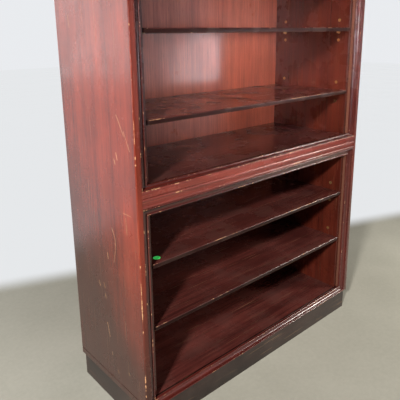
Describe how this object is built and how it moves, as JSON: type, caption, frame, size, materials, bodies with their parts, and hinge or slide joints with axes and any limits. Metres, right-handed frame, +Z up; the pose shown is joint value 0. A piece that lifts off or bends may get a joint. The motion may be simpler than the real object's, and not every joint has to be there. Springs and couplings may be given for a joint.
{
  "type": "open bookcase",
  "caption": "Tall free-standing open bookcase with two framed bays one above the other, loose shelves on pins, and a recessed plinth.",
  "frame": {"origin": "on the floor, under the middle of the case", "axes": "+X to the right as seen from the front, +Y towards the back, +Z up; the open front faces -Y"},
  "size_m": [0.914, 0.336, 1.219],
  "materials": {
    "case_mahogany": "glossy dark red varnish, worn pale along the edges",
    "lining_mahogany": "glossy dark red varnish",
    "shelf_mahogany": "dark red varnish, scuffed on top and worn along the front edge",
    "back_mahogany": "glossy dark red varnish",
    "batten_mahogany": "plain dark stain",
    "plinth_mahogany": "nearly black stain, scuffed",
    "pin_brass": "plain turned brass",
    "socket_brass": "plain pressed brass",
    "screw_steel": "bright steel, slotted head",
    "dowel_beech": "unfinished",
    "glue_block_pine": "unfinished"
  },
  "bodies": {
    "carcass": {"back_panel_lower": "back_mahogany", "back_panel_upper": "back_mahogany", "back_screws_lower": "screw_steel", "back_screws_upper": "screw_steel", "batten_lower_left_back": "batten_mahogany", "batten_lower_left_front": "batten_mahogany", "batten_lower_right_back": "batten_mahogany", "batten_lower_right_front": "batten_mahogany", "batten_upper_left_back": "batten_mahogany", "batten_upper_left_front": "batten_mahogany", "batten_upper_right_back": "batten_mahogany", "batten_upper_right_front": "batten_mahogany", "bottom_board": "case_mahogany", "bottom_board_dowels": "dowel_beech", "lining_lower_left": "lining_mahogany", "lining_lower_right": "lining_mahogany", "lining_upper_left": "lining_mahogany", "lining_upper_right": "lining_mahogany", "lower_frame_bottom": "case_mahogany", "lower_frame_left": "case_mahogany", "lower_frame_right": "case_mahogany", "lower_frame_top": "case_mahogany", "lower_shelf_1_pins": "pin_brass", "lower_shelf_2_pins": "pin_brass", "mid_rail": "case_mahogany", "middle_board": "case_mahogany", "middle_board_dowels": "dowel_beech", "pin_sockets_lower_left": "socket_brass", "pin_sockets_lower_right": "socket_brass", "pin_sockets_upper_left": "socket_brass", "pin_sockets_upper_right": "socket_brass", "plinth_back": "plinth_mahogany", "plinth_corner_blocks": "glue_block_pine", "plinth_front": "plinth_mahogany", "plinth_left": "plinth_mahogany", "plinth_right": "plinth_mahogany", "side_panel_left": "case_mahogany", "side_panel_right": "case_mahogany", "top_dowels": "dowel_beech", "top_panel": "case_mahogany", "upper_frame_bottom": "case_mahogany", "upper_frame_left": "case_mahogany", "upper_frame_right": "case_mahogany", "upper_frame_top": "case_mahogany", "upper_shelf_1_pins": "pin_brass", "upper_shelf_2_pins": "pin_brass"},
    "lower_shelf_1": {"lower_shelf_1": "shelf_mahogany"},
    "lower_shelf_2": {"lower_shelf_2": "shelf_mahogany"},
    "upper_shelf_1": {"upper_shelf_1": "shelf_mahogany"},
    "upper_shelf_2": {"upper_shelf_2": "shelf_mahogany"}
  },
  "joints": [
    {"name": "lower_shelf_1_slide", "type": "slide", "parent": "carcass", "child": "lower_shelf_1", "axis": [0, -1, 0], "range_m": [0, 0.34]},
    {"name": "lower_shelf_2_slide", "type": "slide", "parent": "carcass", "child": "lower_shelf_2", "axis": [0, -1, 0], "range_m": [0, 0.34]},
    {"name": "upper_shelf_1_slide", "type": "slide", "parent": "carcass", "child": "upper_shelf_1", "axis": [0, -1, 0], "range_m": [0, 0.34]},
    {"name": "upper_shelf_2_slide", "type": "slide", "parent": "carcass", "child": "upper_shelf_2", "axis": [0, -1, 0], "range_m": [0, 0.34]}
  ]
}
